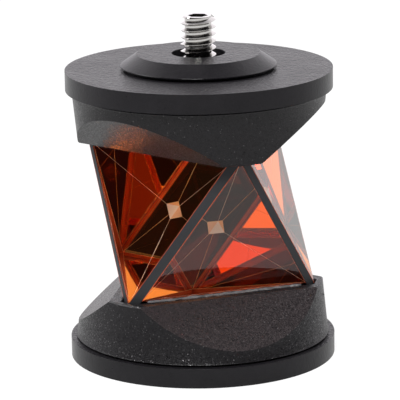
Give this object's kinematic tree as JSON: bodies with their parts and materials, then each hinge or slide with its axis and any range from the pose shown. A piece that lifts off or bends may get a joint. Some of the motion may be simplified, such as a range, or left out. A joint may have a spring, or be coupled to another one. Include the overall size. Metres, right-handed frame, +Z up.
{
  "type": "survey prism",
  "caption": "All-round survey reflector: copper-backed glass corner cubes between black facetted housings, with a threaded stud on a conical seat on top.",
  "frame": {"origin": "centre of the base disc's underside, the face that the prism stands on", "axes": "+Z up the common axis of the discs and the stud; -Y is the outward side of a corner cube that stands on an edge"},
  "size_m": [0.048, 0.048, 0.062],
  "materials": {
    "anodised_black": "turned and black anodised, satin",
    "housing_black": "cast, with a black coat of fine sparkling grain",
    "coated_glass": "polished optical glass, copper-coated back faces",
    "black_rubber": "matte",
    "grey_sealant": "smoothed by hand, satin",
    "bright_steel": "bright nickel plate",
    "brass": "turned"
  },
  "bodies": {
    "prism_body": {"base_bush": "brass", "base_disc": "anodised_black", "base_screw_1": "bright_steel", "base_screw_2": "bright_steel", "base_screw_3": "bright_steel", "edge_seal_1": "black_rubber", "edge_seal_2": "black_rubber", "edge_seal_3": "black_rubber", "edge_seal_4": "black_rubber", "edge_seal_5": "black_rubber", "edge_seal_6": "black_rubber", "face_bead_1": "grey_sealant", "face_bead_2": "grey_sealant", "face_bead_3": "grey_sealant", "face_bead_4": "grey_sealant", "face_bead_5": "grey_sealant", "face_bead_6": "grey_sealant", "lower_gasket": "black_rubber", "lower_housing": "housing_black", "prism_1": "coated_glass", "prism_2": "coated_glass", "prism_3": "coated_glass", "prism_4": "coated_glass", "prism_5": "coated_glass", "prism_6": "coated_glass", "prism_pad_1": "black_rubber", "prism_pad_2": "black_rubber", "prism_pad_3": "black_rubber", "prism_pad_4": "black_rubber", "prism_pad_5": "black_rubber", "prism_pad_6": "black_rubber", "seat_gasket": "black_rubber", "stud_seat": "anodised_black", "top_disc": "anodised_black", "top_screw_1": "bright_steel", "top_screw_2": "bright_steel", "top_screw_3": "bright_steel", "upper_gasket": "black_rubber", "upper_housing": "housing_black"},
    "stud": {"stud": "bright_steel"}
  },
  "joints": [
    {"name": "stud_travel", "type": "slide", "parent": "prism_body", "child": "stud", "axis": [0, 0, 1], "range_m": [-0.0067, 0.0042]}
  ]
}
